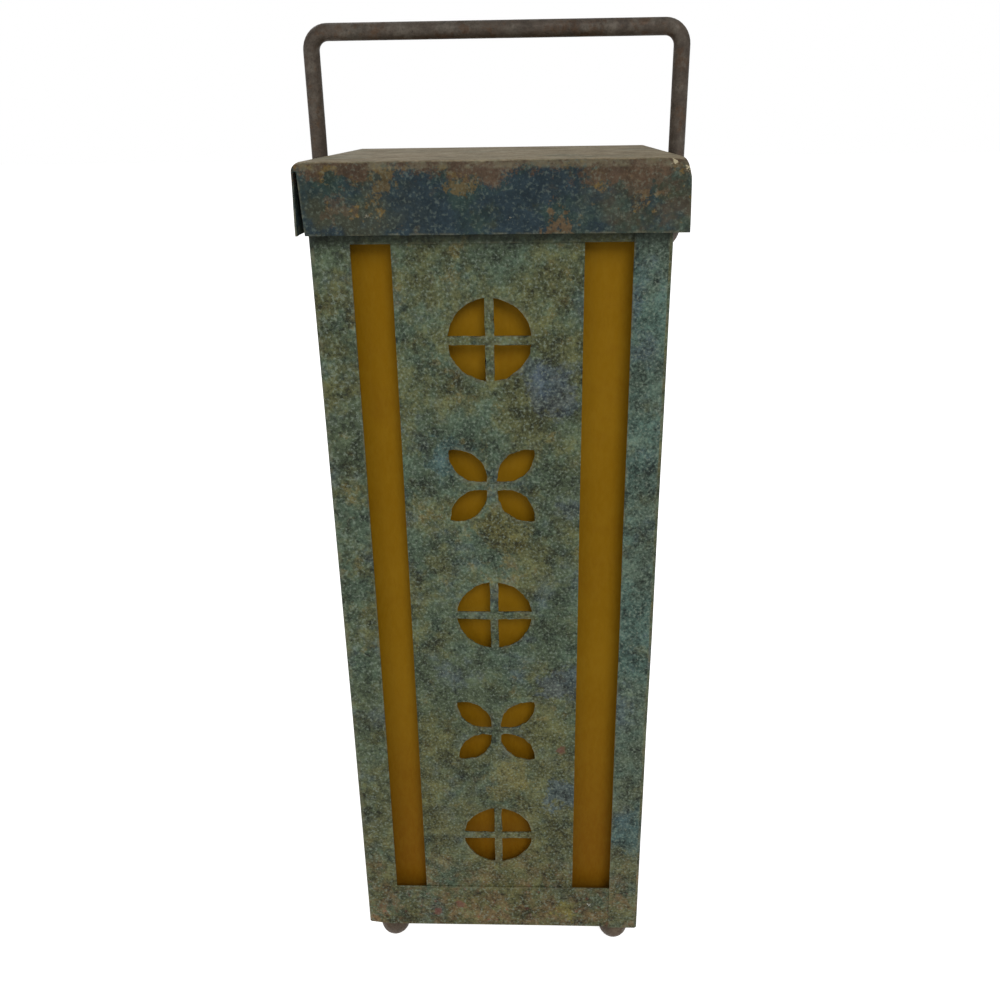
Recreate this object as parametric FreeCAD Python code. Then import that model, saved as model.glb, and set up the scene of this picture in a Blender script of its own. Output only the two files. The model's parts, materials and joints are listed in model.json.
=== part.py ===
"""Square tin candle lantern with pierced strips, amber panes, a lift-off lid and a wire bail.

Millimetres. The lantern stands on Z = 0 with its axis on +Z, and its front faces -Y.
Four like walls go round it in a pinwheel: each is drawn as the front one and turned by
quarter turns, so wall 0 is the front, 1 the right, 2 the back and 3 the left.
"""
import FreeCAD, Part
import math
import os

from FreeCAD import Vector

# Body of four folded walls
body_width = 120.0
body_height = 323.8
sheet = 0.6
bend_inside = 0.6
corner_play = 0.1
left_post = 13.4
flange_width = 13.3
flange_overhang = 1.2
bottom_rail = 22.0
top_rail = 25.6
opening_corner = 0.8

# Pierced centre strips
strip_width = 64.1
strip_shift = -1.45
strip_sheet = 0.6
strip_lap = 5.0
motif_count = 5
motif_above_rail = 28.4
motif_below_rail = 32.6
motif_width = 31.0
motif_height = 27.6
motif_bridge = 3.0
wheel_diameter = 29.0
petal_width = 9.4
petal_start = 2.6

# Amber panes and the rails that hold them
pane_setback = 6.0
pane_thickness = 1.5
pane_play = 0.3
rail_sheet = 0.6
gutter_depth = 5.4
rail_foot = 8.0
rail_gap = 0.8

# Floor pan
floor_sheet = 0.8
floor_rim = 8.0
floor_fold = 1.0
vent_count = 4
vent_diameter = 8.0
vent_circle = 92.0

# Feet
foot_height = 13.0
foot_ball = 13.0
foot_bands = 4
foot_flat = 4.4
foot_neck = 7.6
foot_spigot = 5.0
foot_inset = 10.0

# Lid
lid_play = 3.1
lid_skirt = 22.9
lid_sheet = 0.6
lid_fold = 3.0
slit_top = 1.0
slit_bottom = 2.4

# Bail of round rod
rod_diameter = 6.0
rod_play = 0.25
rod_chamfer = 0.5
bail_side_gap = 0.7
bail_bend = 6.2
bail_rise = 41.6
pivot_drop = 11.0
ear_sheet = 1.0
ear_width = 24.0
ear_below = 8.5
ear_corner = 3.0
washer_diameter = 11.0
washer_sheet = 1.0
nut_diameter = 10.4
nut_sheet = 1.2
nut_gap = 0.3
rod_tail = 1.1

# Candle holder
drip_diameter = 76.0
drip_depth = 5.0
drip_flare = 5.0
drip_sheet = 0.6
cup_bore = 23.0
cup_depth = 24.0
cup_sheet = 0.6
cup_flare = 1.4
cup_lip = 2.0
rivet_diameter = 4.0
rivet_head = 7.4
rivet_crown = 4.4
rivet_rise = 1.5

# Cutting tools run past the metal by this much
overrun = 1.0

# Places that the walls, strips, panes, lid and bail share
half = body_width / 2
wall_out = half - sheet
wall_in = wall_out - sheet
base = foot_height
rim_z = base + body_height
opening_low = base + bottom_rail
opening_high = rim_z - top_rail
strip_in = wall_in - strip_sheet
strip_low = opening_low - strip_lap
strip_high = opening_high + strip_lap
motif_low = opening_low + motif_above_rail
motif_high = opening_high - motif_below_rail
pane_out = wall_out - pane_setback
pane_in = pane_out - pane_thickness
floor_top = base + floor_sheet
lower_rail_top = floor_top + rail_sheet
upper_rail_z = strip_high + rail_gap
gutter_out = pane_out + pane_play
gutter_in = pane_in - pane_play
rail_inside = gutter_in - rail_sheet
lid_half = half + lid_play + lid_sheet
lid_top = rim_z + lid_sheet
skirt_z = lid_top - lid_skirt
rod_r = rod_diameter / 2
rod_hole_r = rod_r + rod_play
leg_x = lid_half + bail_side_gap + rod_r
bar_z = lid_top + bail_rise
pivot_z = skirt_z - pivot_drop
ear_in = strip_in - ear_sheet
nut_out = ear_in - nut_gap
nut_in = nut_out - nut_sheet
rod_end = nut_in - rod_tail
foot_place = half - foot_inset
walls = ["front", "right", "back", "left"]
bail_walls = ["right", "left"]


def export(shape, node):
    """Write one node's STEP file."""
    shape.exportStep("parts/" + node + ".step")


def turned(shape, quarter):
    """A copy of the front wall's piece, turned to another wall."""
    copy = shape.copy()
    copy.rotate(Vector(0, 0, 0), Vector(0, 0, 1), 90 * quarter)
    return copy


def block(low, high):
    """A box between two corners."""
    size = [b - a for a, b in zip(low, high)]
    return Part.makeBox(size[0], size[1], size[2], Vector(*low))


def square_ring(outer, inner, z0, z1):
    """A square tube's wall about the Z axis, given by two half widths."""
    tube = block((-outer, -outer, z0), (outer, outer, z1))
    return tube.cut(block((-inner, -inner, z0 - overrun), (inner, inner, z1 + overrun)))


def fused(shapes):
    """One clean solid from pieces that meet."""
    whole = shapes[0].multiFuse(shapes[1:])
    return whole.removeSplitter()


def prism(points, direction):
    """A closed outline pushed along a direction."""
    return Part.Face(Part.makePolygon(points + points[:1])).extrude(direction)


def revolved(points, x=0, y=0):
    """A closed outline of (radius, z) points turned about the upright line through x, y."""
    outline = [Vector(x + r, y, z) for r, z in points]
    face = Part.Face(Part.makePolygon(outline + outline[:1]))
    return face.revolve(Vector(x, y, 0), Vector(0, 0, 1), 360)


def upright_edges(shape):
    """The edges of a shape that run along Z."""
    found = []
    for edge in shape.Edges:
        ends = [vertex.Point for vertex in edge.Vertexes]
        if len(ends) == 2 and abs(ends[0].x - ends[1].x) + abs(ends[0].y - ends[1].y) < 1e-6:
            found.append(edge)
    return found


def depth_edges(shape):
    """The edges of a front wall's piece that run straight into it, along Y."""
    found = []
    for edge in shape.Edges:
        ends = [vertex.Point for vertex in edge.Vertexes]
        if len(ends) == 2 and abs(ends[0].x - ends[1].x) + abs(ends[0].z - ends[1].z) < 1e-6:
            found.append(edge)
    return found


# Walls

def wall_section():
    """The folded outline seen from above: the face, the left bend and the flange behind it."""
    outer = bend_inside + sheet
    face_end = wall_in - bend_inside - corner_play
    flange_end = -half + flange_width
    bend = Vector(-half + outer, -wall_out + outer, base)
    diagonal = math.sqrt(0.5)
    outer_mid = bend - Vector(outer * diagonal, outer * diagonal, 0)
    inner_mid = bend - Vector(bend_inside * diagonal, bend_inside * diagonal, 0)

    def at(x, y):
        return Vector(x, y, base)

    inner_start = at(bend.x, -wall_in)
    inner_stop = at(-wall_out, bend.y)
    outer_start = at(-half, bend.y)
    outer_stop = at(bend.x, -wall_out)
    edges = [
        Part.LineSegment(outer_stop, at(face_end, -wall_out)).toShape(),
        Part.LineSegment(at(face_end, -wall_out), at(face_end, -wall_in)).toShape(),
        Part.LineSegment(at(face_end, -wall_in), inner_start).toShape(),
        Part.Arc(inner_start, inner_mid, inner_stop).toShape(),
        Part.LineSegment(inner_stop, at(-wall_out, flange_end)).toShape(),
        Part.LineSegment(at(-wall_out, flange_end), at(-half, flange_end)).toShape(),
        Part.LineSegment(at(-half, flange_end), outer_start).toShape(),
        Part.Arc(outer_start, outer_mid, outer_stop).toShape(),
    ]
    return Part.Face(Part.Wire(edges))


def wall():
    """One folded wall with its large opening; the neighbour's flange hides the opening's right edge."""
    body = wall_section().extrude(Vector(0, 0, body_height))
    left = -half + left_post
    right = half - flange_width + flange_overhang
    window = block((left, -half - overrun, opening_low), (right, -wall_in + overrun, opening_high))
    window = window.makeFillet(opening_corner, depth_edges(window))
    return body.cut(window)


# Pierced strips

def wheel_motif(x, z):
    """A round cut-out quartered by two bridges."""
    front = -wall_in - overrun
    depth = strip_sheet + 2 * overrun
    reach = wheel_diameter
    bridge = motif_bridge / 2
    disc = Part.makeCylinder(wheel_diameter / 2, depth, Vector(x, front, z), Vector(0, 1, 0))
    upright = block((x - bridge, front, z - reach), (x + bridge, front + depth, z + reach))
    level = block((x - reach, front, z - bridge), (x + reach, front + depth, z + bridge))
    return disc.cut([upright, level]).Solids


def petal_motif(x, z):
    """Four pointed petals on the diagonals, each between two arcs."""
    cuts = []
    reach = math.hypot(motif_width, motif_height) / 2
    lean = math.atan2(motif_height, motif_width)
    depth = Vector(0, strip_sheet + 2 * overrun, 0)
    for angle in (lean, math.pi - lean, math.pi + lean, -lean):
        along = Vector(math.cos(angle), 0, math.sin(angle))
        across = Vector(-math.sin(angle), 0, math.cos(angle))
        centre = Vector(x, -wall_in - overrun, z)
        inner = centre + along * petal_start
        outer = centre + along * reach
        middle = (inner + outer) * 0.5
        one = Part.Arc(inner, middle + across * (petal_width / 2), outer).toShape()
        other = Part.Arc(outer, middle - across * (petal_width / 2), inner).toShape()
        cuts.append(Part.Face(Part.Wire([one, other])).extrude(depth))
    return cuts


def strip(with_pivot):
    """A centre strip behind the wall's rails; the side strips also let the bail through."""
    left = strip_shift - strip_width / 2
    plate = block((left, -wall_in, strip_low), (left + strip_width, -strip_in, strip_high))
    cuts = []
    for place in range(motif_count):
        z = motif_low + (motif_high - motif_low) * place / (motif_count - 1)
        motif = wheel_motif if place % 2 == 0 else petal_motif
        cuts.extend(motif(strip_shift, z))
    if with_pivot:
        start = Vector(0, -wall_in - overrun, pivot_z)
        cuts.append(Part.makeCylinder(rod_hole_r, strip_sheet + 2 * overrun, start, Vector(0, 1, 0)))
    return plate.cut(cuts)


# Amber panes and their rails

def pane():
    """One pane; its right end covers the next pane's end, and its left end stops short of the last."""
    left = -pane_in + pane_play
    low = lower_rail_top
    high = upper_rail_z - pane_play
    return block((left, -pane_out, low), (pane_out, -pane_in, high))


def pane_gutter(plate_low, plate_high, lip_low, lip_high, outer):
    """A square rail: a flat plate, a hemmed lip outside the panes and a single lip inside."""
    return [
        square_ring(outer, rail_inside, plate_low, plate_high),
        square_ring(gutter_out + 2 * rail_sheet, gutter_out, lip_low, lip_high),
        square_ring(gutter_in, rail_inside, lip_low, lip_high),
    ]


def lower_pane_rail():
    """The rail on the floor pan, inside its rim."""
    outer = wall_in - floor_sheet - corner_play
    lip_high = lower_rail_top + gutter_depth
    return fused(pane_gutter(floor_top, lower_rail_top, floor_top, lip_high, outer))


def upper_pane_rail():
    """The rail behind the top rails, with a foot against the walls."""
    top = upper_rail_z + rail_sheet
    rings = pane_gutter(upper_rail_z, top, upper_rail_z - gutter_depth, top, wall_in)
    rings.append(square_ring(wall_in, wall_in - rail_sheet, upper_rail_z, upper_rail_z + rail_foot))
    rail = fused(rings)
    corners = [edge for edge in upright_edges(rail)
               if abs(abs(edge.Vertexes[0].X) - wall_in) < 1e-6
               and abs(abs(edge.Vertexes[0].Y) - wall_in) < 1e-6]
    return rail.makeChamfer(bend_inside + corner_play, corners)


# Floor pan and feet

def floor_pan():
    """A shallow tray soldered between the walls, with air holes and the feet's holes."""
    high = base + floor_rim
    tray = block((-wall_in, -wall_in, base), (wall_in, wall_in, high))
    tray = tray.makeChamfer(bend_inside + corner_play, upright_edges(tray))
    bottom = [edge for edge in tray.Edges if edge.BoundBox.ZMax < base + 1e-6]
    tray = tray.makeChamfer(floor_fold, bottom)
    inner = wall_in - floor_sheet
    hollow = block((-inner, -inner, floor_top), (inner, inner, high + overrun))
    cuts = [hollow]
    for place in range(vent_count):
        angle = 2 * math.pi * (place + 0.5) / vent_count
        spot = Vector(math.cos(angle), math.sin(angle), 0) * (vent_circle / 2)
        cuts.append(hole(spot.x, spot.y, vent_diameter / 2))
    for x, y in foot_places():
        cuts.append(hole(x, y, foot_spigot / 2))
    cuts.append(hole(0, 0, rivet_diameter / 2))
    return tray.cut(cuts)


def hole(x, y, radius):
    """A drill through the floor pan and all that is riveted to it."""
    height = floor_sheet + drip_sheet + cup_sheet + 2 * overrun
    return Part.makeCylinder(radius, height, Vector(x, y, base - overrun))


def foot_places():
    """Where the four feet stand: front left, front right, back right, back left."""
    p = foot_place
    return [(-p, -p), (p, -p), (p, p), (-p, p)]


def foot(x, y):
    """A turned ball with a small flat to stand on, a neck, and a spigot soldered into the floor."""
    radius = foot_ball / 2
    neck = foot_neck / 2
    spigot = foot_spigot / 2
    centre = math.sqrt(radius * radius - foot_flat * foot_flat / 4)
    start = math.acos(centre / radius)
    stop = math.pi - math.asin(neck / radius)
    outline = [(0, 0)]
    for band in range(foot_bands + 1):
        angle = start + (stop - start) * band / foot_bands
        outline.append((radius * math.sin(angle), centre - radius * math.cos(angle)))
    outline.extend([(neck, base), (spigot, base), (spigot, floor_top), (0, floor_top)])
    return revolved(outline, x, y)


# Lid

def lid():
    """One folded cap: a flat top, rounded folds, and a skirt that is slit open at every corner."""
    cap = block((-lid_half, -lid_half, skirt_z), (lid_half, lid_half, lid_top))
    top_edges = [edge for edge in cap.Edges if edge.BoundBox.ZMin > lid_top - 1e-6]
    cap = cap.makeFillet(lid_fold, top_edges)
    inner = lid_half - lid_sheet
    hollow = block((-inner, -inner, skirt_z - lid_skirt), (inner, inner, rim_z))
    inner_edges = [edge for edge in hollow.Edges if edge.BoundBox.ZMin > rim_z - 1e-6]
    cap = cap.cut(hollow.makeFillet(lid_fold - lid_sheet, inner_edges))
    slits = [turned(lid_slit(), quarter) for quarter in range(4)]
    return cap.cut(slits)


def lid_slit():
    """The wedge between the front skirt's left end and the left skirt's front edge."""
    left = -lid_half + lid_sheet
    high = lid_top - lid_fold
    front = -lid_half - overrun
    low = skirt_z - overrun
    points = [
        Vector(left, front, low),
        Vector(left + slit_bottom, front, low),
        Vector(left + slit_top, front, high),
        Vector(left, front, high),
    ]
    return prism(points, Vector(0, lid_sheet + 2 * overrun, 0))


# Bail and what holds it

def bail_handle():
    """One rod: turned in at the pivots, up both sides of the lid and across over it."""
    turn = bail_bend
    slant = turn * (1 - math.sqrt(0.5))

    def at(x, z):
        return Vector(x, 0, z)

    left_low = Part.Arc(at(-leg_x + turn, pivot_z), at(-leg_x + slant, pivot_z + slant),
                        at(-leg_x, pivot_z + turn))
    left_high = Part.Arc(at(-leg_x, bar_z - turn), at(-leg_x + slant, bar_z - slant),
                         at(-leg_x + turn, bar_z))
    right_high = Part.Arc(at(leg_x - turn, bar_z), at(leg_x - slant, bar_z - slant),
                          at(leg_x, bar_z - turn))
    right_low = Part.Arc(at(leg_x, pivot_z + turn), at(leg_x - slant, pivot_z + slant),
                         at(leg_x - turn, pivot_z))
    path = Part.Wire([
        Part.LineSegment(at(-rod_end, pivot_z), at(-leg_x + turn, pivot_z)).toShape(),
        left_low.toShape(),
        Part.LineSegment(at(-leg_x, pivot_z + turn), at(-leg_x, bar_z - turn)).toShape(),
        left_high.toShape(),
        Part.LineSegment(at(-leg_x + turn, bar_z), at(leg_x - turn, bar_z)).toShape(),
        right_high.toShape(),
        Part.LineSegment(at(leg_x, bar_z - turn), at(leg_x, pivot_z + turn)).toShape(),
        right_low.toShape(),
        Part.LineSegment(at(leg_x - turn, pivot_z), at(rod_end, pivot_z)).toShape(),
    ])
    section = Part.Wire(Part.makeCircle(rod_r, at(-rod_end, pivot_z), Vector(1, 0, 0)))
    rod = path.makePipeShell([section], True, False)
    ends = [edge for edge in rod.Edges if abs(abs(edge.CenterOfMass.x) - rod_end) < 1e-4
            and edge.BoundBox.XLength < 1e-4]
    return rod.makeChamfer(rod_chamfer, ends)


def pivot_ring(outer_r, inner_r, x0, x1, side):
    """A washer about the bail's axis, between two distances from the middle."""
    start = Vector(side * x0, 0, pivot_z)
    away = Vector(side, 0, 0)
    ring = Part.makeCylinder(outer_r, x1 - x0, start, away)
    return ring.cut(Part.makeCylinder(inner_r, x1 - x0, start, away))


def ear(quarter):
    """The plate soldered behind a side strip that carries the bail."""
    low = pivot_z - ear_below
    plate = block((-ear_width / 2, -strip_in, low), (ear_width / 2, -ear_in, strip_high))
    plate = plate.makeFillet(ear_corner, depth_edges(plate))
    start = Vector(0, -strip_in - overrun, pivot_z)
    bore = Part.makeCylinder(rod_hole_r, ear_sheet + 2 * overrun, start, Vector(0, 1, 0))
    return turned(plate.cut(bore), quarter)


# Candle holder

def drip_pan():
    """A shallow round dish with a flared rim."""
    rim = drip_diameter / 2
    foot_r = rim - drip_flare
    across = drip_sheet * math.hypot(drip_flare, drip_depth) / drip_depth
    inner_foot = foot_r + drip_sheet * drip_flare / drip_depth - across
    dish = revolved([
        (0, floor_top),
        (foot_r, floor_top),
        (rim, floor_top + drip_depth),
        (rim - across, floor_top + drip_depth),
        (inner_foot, floor_top + drip_sheet),
        (0, floor_top + drip_sheet),
    ])
    return dish.cut(hole(0, 0, rivet_diameter / 2))


def candle_cup():
    """A straight cup with a flared lip."""
    low = floor_top + drip_sheet
    high = low + cup_sheet + cup_depth
    bore = cup_bore / 2
    outer = bore + cup_sheet
    cup = revolved([
        (0, low),
        (outer, low),
        (outer, high - cup_lip),
        (outer + cup_flare, high),
        (bore + cup_flare, high),
        (bore, high - cup_lip),
        (bore, low + cup_sheet),
        (0, low + cup_sheet),
    ])
    return cup.cut(hole(0, 0, rivet_diameter / 2))


def cup_rivet():
    """The rivet through cup, drip pan and floor, with a cone head at each end."""
    high = floor_top + drip_sheet + cup_sheet
    shank = rivet_diameter / 2
    head = rivet_head / 2
    crown = rivet_crown / 2
    return revolved([
        (0, base - rivet_rise),
        (crown, base - rivet_rise),
        (head, base),
        (shank, base),
        (shank, high),
        (head, high),
        (crown, high + rivet_rise),
        (0, high + rivet_rise),
    ])


def main():
    os.makedirs("parts", exist_ok=True)
    for quarter, name in enumerate(walls):
        export(turned(wall(), quarter), name + "_wall")
        export(turned(strip(name in bail_walls), quarter), name + "_strip")
        export(turned(pane(), quarter), name + "_pane")
    export(floor_pan(), "floor_pan")
    export(lower_pane_rail(), "lower_pane_rail")
    export(upper_pane_rail(), "upper_pane_rail")
    names = ["foot_front_left", "foot_front_right", "foot_back_right", "foot_back_left"]
    for name, (x, y) in zip(names, foot_places()):
        export(foot(x, y), name)
    export(lid(), "lid")
    export(bail_handle(), "bail_handle")
    for name, side in (("right", 1), ("left", -1)):
        export(ear(walls.index(name)), "bail_ear_" + name)
        washer = pivot_ring(washer_diameter / 2, rod_hole_r, wall_in, wall_in + washer_sheet, side)
        export(washer, "bail_washer_" + name)
        nut = pivot_ring(nut_diameter / 2, rod_r, nut_in, nut_out, side)
        export(nut, "bail_push_nut_" + name)
    export(drip_pan(), "drip_pan")
    export(candle_cup(), "candle_cup")
    export(cup_rivet(), "cup_rivet")


main()
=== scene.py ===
"""Punched tin candle lantern: hand-bent sheet, patina and a plain white studio.

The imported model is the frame. Sizes and places here are in millimetres and turn to metres
through MM. The front faces -Y, and a wall is drawn as the front one and turned by quarter turns.
"""

import json
import math

import bmesh
import bpy
from mathutils import Matrix, Vector, noise


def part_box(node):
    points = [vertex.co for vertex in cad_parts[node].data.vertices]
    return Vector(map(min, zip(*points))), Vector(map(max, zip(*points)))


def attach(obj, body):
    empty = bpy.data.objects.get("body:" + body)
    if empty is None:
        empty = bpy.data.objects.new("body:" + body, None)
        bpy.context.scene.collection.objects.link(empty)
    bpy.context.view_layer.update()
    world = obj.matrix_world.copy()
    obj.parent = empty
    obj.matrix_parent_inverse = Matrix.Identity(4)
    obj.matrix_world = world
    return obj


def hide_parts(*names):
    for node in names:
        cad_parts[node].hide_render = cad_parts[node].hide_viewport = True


MM = 0.001
WALLS = ["front", "right", "back", "left"]
FEET = ["front_left", "front_right", "back_right", "back_left"]
SQUARE = [(-1, -1), (1, -1), (1, 1), (-1, 1)]

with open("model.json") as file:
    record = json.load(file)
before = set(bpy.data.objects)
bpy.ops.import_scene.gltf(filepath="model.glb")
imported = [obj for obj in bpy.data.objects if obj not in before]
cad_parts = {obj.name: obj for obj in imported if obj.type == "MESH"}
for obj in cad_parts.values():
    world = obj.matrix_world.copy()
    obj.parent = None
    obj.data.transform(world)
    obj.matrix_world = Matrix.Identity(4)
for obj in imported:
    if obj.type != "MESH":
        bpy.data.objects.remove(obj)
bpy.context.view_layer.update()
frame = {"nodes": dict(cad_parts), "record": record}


# Sizes: those of the CAD nodes, and the few that their boxes don't tell

def box(node_name):
    """A CAD node's lowest and highest corner in millimetres."""
    low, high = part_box(node_name)
    return low / MM, high / MM


wall_low, wall_high = box("front_wall")
strip_low, strip_high = box("front_strip")
lid_low, lid_high = box("lid")
bail_low, bail_high = box("bail_handle")
_, foot_high = box("foot_front_right")
HALF = -wall_low.x
FACE = -wall_low.y
SHEET = 0.6
BEND = 1.2
WINDOW_LEFT = -HALF + 13.4
WINDOW_RIGHT = HALF - 12.1
WINDOW_LOW = wall_low.z + 22.0
WINDOW_HIGH = wall_high.z - 25.6

# Cut-outs of a strip
MOTIFS = 5
MOTIF_LOW = WINDOW_LOW + 28.4
MOTIF_HIGH = WINDOW_HIGH - 32.6
WHEEL = 29.0
BRIDGE = 3.0
PETAL_START = 2.6
PETAL_WIDTH = 9.4
PETAL_SPAN = (31.0, 27.6)

# Lid
LID_FOLD = 3.0
SLIT_TOP = 1.6
SLIT_BOTTOM = 3.0

# Bail
ROD = bail_high.y
ROD_HOLE = 2 * ROD + 0.5
ROD_BEND = 6.2
ROD_END = 54.6
PIVOT = bail_low.z + ROD

# Solder bead round the floor: its radius, and its place in and up from the walls' lower edge
BEAD = 0.9
BEAD_IN = 1.3
BEAD_UP = 0.7

# Mesh steps in millimetres, and the number of faces round a fold
SHEET_STEP = 4
SKIRT_STEP = 3
BEND_STEPS = 6
PLATE_STEP = 1.6

# How far hand work and use have moved the sheet
EDGE_BREAK = 0.12
WALL_BOW = 0.3
POST_LEAN = 0.8
CORNER_CURL = 1.1
CUT_FILING = 1.5
CUT_FILING_REACH = 1.2
CUT_SINK = 0.16
CUT_SINK_REACH = 3.0
LID_DISH = 0.35
LID_CRUSH = 0.8
LID_CRUSH_BACK = 0.5
SKIRT_BOW = 0.3
SKIRT_SPRING = 0.45
SKIRT_RAGGED = 0.22

# Heights from none to full of the painted shade under the lid's skirt, a dark band that stands for
# the skirt's shadow on the wall, and of the rust on the lid's folds.
# The stains near the ground start at STAIN_TOPS and are full at STAIN_FULL
SKIRT_SHADE = (307.5, 314.5)
RUST_BAND = (337, 340)
STAIN_TOPS = (150, 75, 65)
STAIN_FULL = 20

# Studio, in metres and watts: name, place, size and power of each lamp
LAMPS = [
    ("key", (0.45, -1.35, 1.35), 0.9, 10.5),
    ("fill", (-0.9, -0.9, 0.5), 0.9, 1.5),
    ("back", (-0.7, 1.3, 1.5), 1.2, 5.0),
]
LAMP_AIM = (0, 0, 0.2)
PAPER_REACH = 8.0
PAPER_GLOW = 0.84
ROOM_LIGHT = 0.44

# Camera, in millimetres and degrees, fitted to corners of the object in the photograph
CAMERA_PLACE = (13.02, -378.74, 350.52)
CAMERA_PITCH = 22.279
CAMERA_ROLL = -0.839
CAMERA_YAW = -2.087
CAMERA_LENS = 33.89
CAMERA_SENSOR = 36.0


# Colours and nodes

def linear(hex_colour):
    """An sRGB hex colour as linear RGBA."""
    values = []
    for start in (1, 3, 5):
        share = int(hex_colour[start:start + 2], 16) / 255
        values.append(share / 12.92 if share <= 0.04045 else ((share + 0.055) / 1.055) ** 2.4)
    return (*values, 1.0)


def node(tree, kind, settings=None, links=None):
    """Adds a node. Settings are its own properties; links are its inputs, values or sockets."""
    new = tree.nodes.new(kind)
    for name, value in (settings or {}).items():
        setattr(new, name, value)
    for name, value in (links or {}).items():
        for source in value if isinstance(value, list) else [value]:
            if isinstance(source, bpy.types.NodeSocket):
                tree.links.new(source, new.inputs[name])
            else:
                new.inputs[name].default_value = source
    return new


def clouds(tree, place, size, low, high, most=1.0, seed=0.0, detail=5.0, rough=0.7):
    """A mask of soft patches about size mm across, none below low and full above high."""
    field = node(tree, "ShaderNodeTexNoise", {"noise_dimensions": "4D"}, {
        "Vector": place, "W": seed, "Scale": 1 / (size * MM), "Detail": detail, "Roughness": rough})
    return ramp(tree, field.outputs["Fac"], low, high, 0.0, most)


def ramp(tree, value, low, high, to_low=0.0, to_high=1.0):
    """A value taken smoothly from one range to another."""
    return node(tree, "ShaderNodeMapRange", {"interpolation_type": "SMOOTHSTEP"}, {
        "Value": value, "From Min": low, "From Max": high,
        "To Min": to_low, "To Max": to_high}).outputs["Result"]


def coated(tree, ground, coats):
    """A ground colour with further colours laid over it, each through its own mask."""
    for colour, mask in coats:
        ground = node(tree, "ShaderNodeMix", {"data_type": "RGBA"}, {
            0: mask, 6: ground, 7: colour}).outputs[2]
    return ground


def reckon(tree, operation, *values):
    """One sum of values or sockets."""
    return node(tree, "ShaderNodeMath", {"operation": operation}, dict(enumerate(values))).outputs[0]


def near(tree, place, spot, reach):
    """A mask round one spot in mm, full at it and none at its reach."""
    away = node(tree, "ShaderNodeVectorMath", {"operation": "DISTANCE"}, {
        0: place, 1: Vector(spot) * MM}).outputs["Value"]
    return ramp(tree, away, 0.0, reach * MM, 1.0, 0.0)


def shaken(tree, place, size, seed):
    """The place moved about by up to size mm, so that a spot drawn on it gets a ragged outline."""
    field = node(tree, "ShaderNodeTexNoise", {"noise_dimensions": "4D"}, {
        "Vector": place, "W": seed, "Scale": 1 / (size * MM), "Detail": 4.0, "Roughness": 0.8})
    centred = node(tree, "ShaderNodeVectorMath", {"operation": "SUBTRACT"}, {
        0: field.outputs["Color"], 1: (0.5, 0.5, 0.5)}).outputs["Vector"]
    return node(tree, "ShaderNodeVectorMath", {"operation": "MULTIPLY_ADD"}, {
        0: centred, 1: Vector((4, 4, 4)) * size * MM, 2: place}).outputs["Vector"]


def material(name):
    """A new material with its tree, its principled shader and Object coordinates."""
    made = bpy.data.materials.new(name)
    made.use_nodes = True
    tree = made.node_tree
    shader = tree.nodes["Principled BSDF"]
    place = node(tree, "ShaderNodeTexCoord").outputs["Object"]
    return made, tree, shader, place


def raised(tree, shader, height, depth):
    """Feeds a height from 0 to 1, depth mm deep, to the shader as bump."""
    bump = node(tree, "ShaderNodeBump", {}, {
        "Height": height, "Distance": depth * MM, "Strength": 1.0})
    tree.links.new(bump.outputs["Normal"], shader.inputs["Normal"])


def sponged(tree, place, colour, seed, strength):
    """A colour dabbed on with a sponge, as uneven at 1 mm as at 12 mm, and the dabs' field."""
    field = node(tree, "ShaderNodeTexNoise", {"noise_dimensions": "4D"}, {
        "Vector": place, "W": seed, "Scale": 1 / (12 * MM), "Detail": 5.0,
        "Roughness": 1.0, "Lacunarity": 2.0}).outputs["Fac"]
    tone = node(tree, "ShaderNodeMapRange", {}, {
        "Value": field, "From Min": 0.38, "From Max": 0.62,
        "To Min": 1.0 - strength, "To Max": 1.0 + strength}).outputs["Result"]
    dabbed = node(tree, "ShaderNodeVectorMath", {"operation": "SCALE"}, {0: colour, "Scale": tone})
    return dabbed.outputs["Vector"], field


# Finishes

def patches(tree, place, zone, *patch):
    """Clouds that keep to a zone."""
    return reckon(tree, "MULTIPLY", zone, clouds(tree, place, *patch))


def spots(tree, place, marks):
    """Coats for single marks, (colour, place, reach, most)."""
    coats = []
    for colour, spot, reach, most in marks:
        area = near(tree, place, spot, reach)
        coats.append((linear(colour), ramp(tree, area, 0.15, 0.5, 0.0, most)))
    return coats


def body_stains(tree, place, seed):
    """Olive and brown stains towards the ground, with rust low down."""
    height = node(tree, "ShaderNodeSeparateXYZ", {}, {0: place}).outputs["Z"]
    lower, low, lowest = (ramp(tree, height, top * MM, STAIN_FULL * MM) for top in STAIN_TOPS)
    return [
        (linear("#5d5a33"), patches(tree, place, lower, 16, 0.34, 0.58, 0.85, seed + 41)),
        (linear("#6b5436"), patches(tree, place, low, 7, 0.46, 0.60, 0.7, seed + 42)),
        (linear("#7a4635"), patches(tree, place, lowest, 5, 0.58, 0.66, 0.8, seed + 43)),
    ]


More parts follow.
